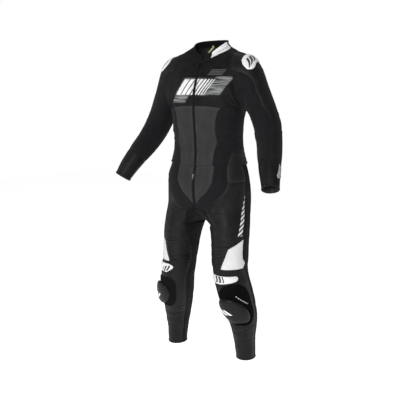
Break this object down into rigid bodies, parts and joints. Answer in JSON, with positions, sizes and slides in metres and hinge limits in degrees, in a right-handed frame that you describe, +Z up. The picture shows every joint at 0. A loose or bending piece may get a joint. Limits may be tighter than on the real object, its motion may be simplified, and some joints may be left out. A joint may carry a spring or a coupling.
{
  "type": "motorcycle race suit",
  "caption": "Two-piece leather motorcycle race suit in its filled-out worn form, with stretch panels, accordion knees, armour plates and knee sliders.",
  "frame": {"origin": "the middle of the neck base, where the wearer's shoulders hold the suit up", "axes": "+Z up, -Y towards the suit's front, +X towards the suit's own left"},
  "size_m": [0.7806, 0.3113, 1.3688],
  "materials": {
    "black_leather": "satin black cowhide",
    "grey_leather": "matt dark grey perforated cowhide",
    "stretch_cloth": "matt ribbed stretch weave",
    "white_leather": "satin white leather",
    "white_cap": "glossy white moulded plate",
    "slider_plastic": "matt black moulded plastic",
    "zip_metal": "satin dark metal",
    "label_cloth": "pale woven label"
  },
  "bodies": {
    "suit": {"back_panel": "black_leather", "calf_left": "black_leather", "calf_right": "black_leather", "chest_left": "black_leather", "chest_right": "black_leather", "collar_black": "black_leather", "collar_tab": "black_leather", "collar_white": "white_leather", "cuff_left": "black_leather", "cuff_right": "black_leather", "flank_panel_left": "black_leather", "flank_panel_right": "black_leather", "fly_panel_left": "grey_leather", "fly_panel_right": "grey_leather", "fly_zip_slider": "zip_metal", "fly_zip_tape": "stretch_cloth", "front_panel_left": "grey_leather", "front_panel_right": "grey_leather", "front_zip_slider": "zip_metal", "front_zip_tape": "stretch_cloth", "groin_panel_left": "stretch_cloth", "groin_panel_right": "stretch_cloth", "hip_panel_left": "black_leather", "hip_panel_right": "black_leather", "inner_leg_left": "stretch_cloth", "inner_leg_right": "stretch_cloth", "knee_accordion_left": "black_leather", "knee_accordion_right": "black_leather", "knee_back_left": "stretch_cloth", "knee_back_right": "stretch_cloth", "knee_front_left": "black_leather", "knee_front_right": "black_leather", "knee_shield_left": "white_cap", "knee_shield_right": "white_cap", "knee_side_left": "white_leather", "knee_side_right": "white_leather", "knee_slider_left": "slider_plastic", "knee_slider_right": "slider_plastic", "neck_label": "label_cloth", "seat_left": "black_leather", "seat_right": "black_leather", "shin_left": "black_leather", "shin_right": "black_leather", "shoulder_cap_left": "white_cap", "shoulder_cap_right": "white_cap", "side_panel_left": "stretch_cloth", "side_panel_right": "stretch_cloth", "sleeve_outer_left": "black_leather", "sleeve_outer_right": "black_leather", "sleeve_stretch_left": "stretch_cloth", "sleeve_stretch_right": "stretch_cloth", "slider_pad_left": "stretch_cloth", "slider_pad_right": "stretch_cloth", "thigh_front_left": "black_leather", "thigh_front_right": "black_leather", "upper_back_left": "black_leather", "upper_back_right": "black_leather"},
    "front_zip_pull": {"front_zip_pull": "zip_metal"},
    "fly_zip_pull": {"fly_zip_pull": "zip_metal"}
  },
  "joints": [
    {"name": "front_zip_pull_hinge", "type": "hinge", "parent": "suit", "child": "front_zip_pull", "pos_m": [0, -0.08079, -0.02737], "axis": [-1, 0, 0], "range_deg": [0, 110]},
    {"name": "fly_zip_pull_hinge", "type": "hinge", "parent": "suit", "child": "fly_zip_pull", "pos_m": [0, -0.13187, -0.47957], "axis": [-1, 0, 0], "range_deg": [0, 110]}
  ]
}
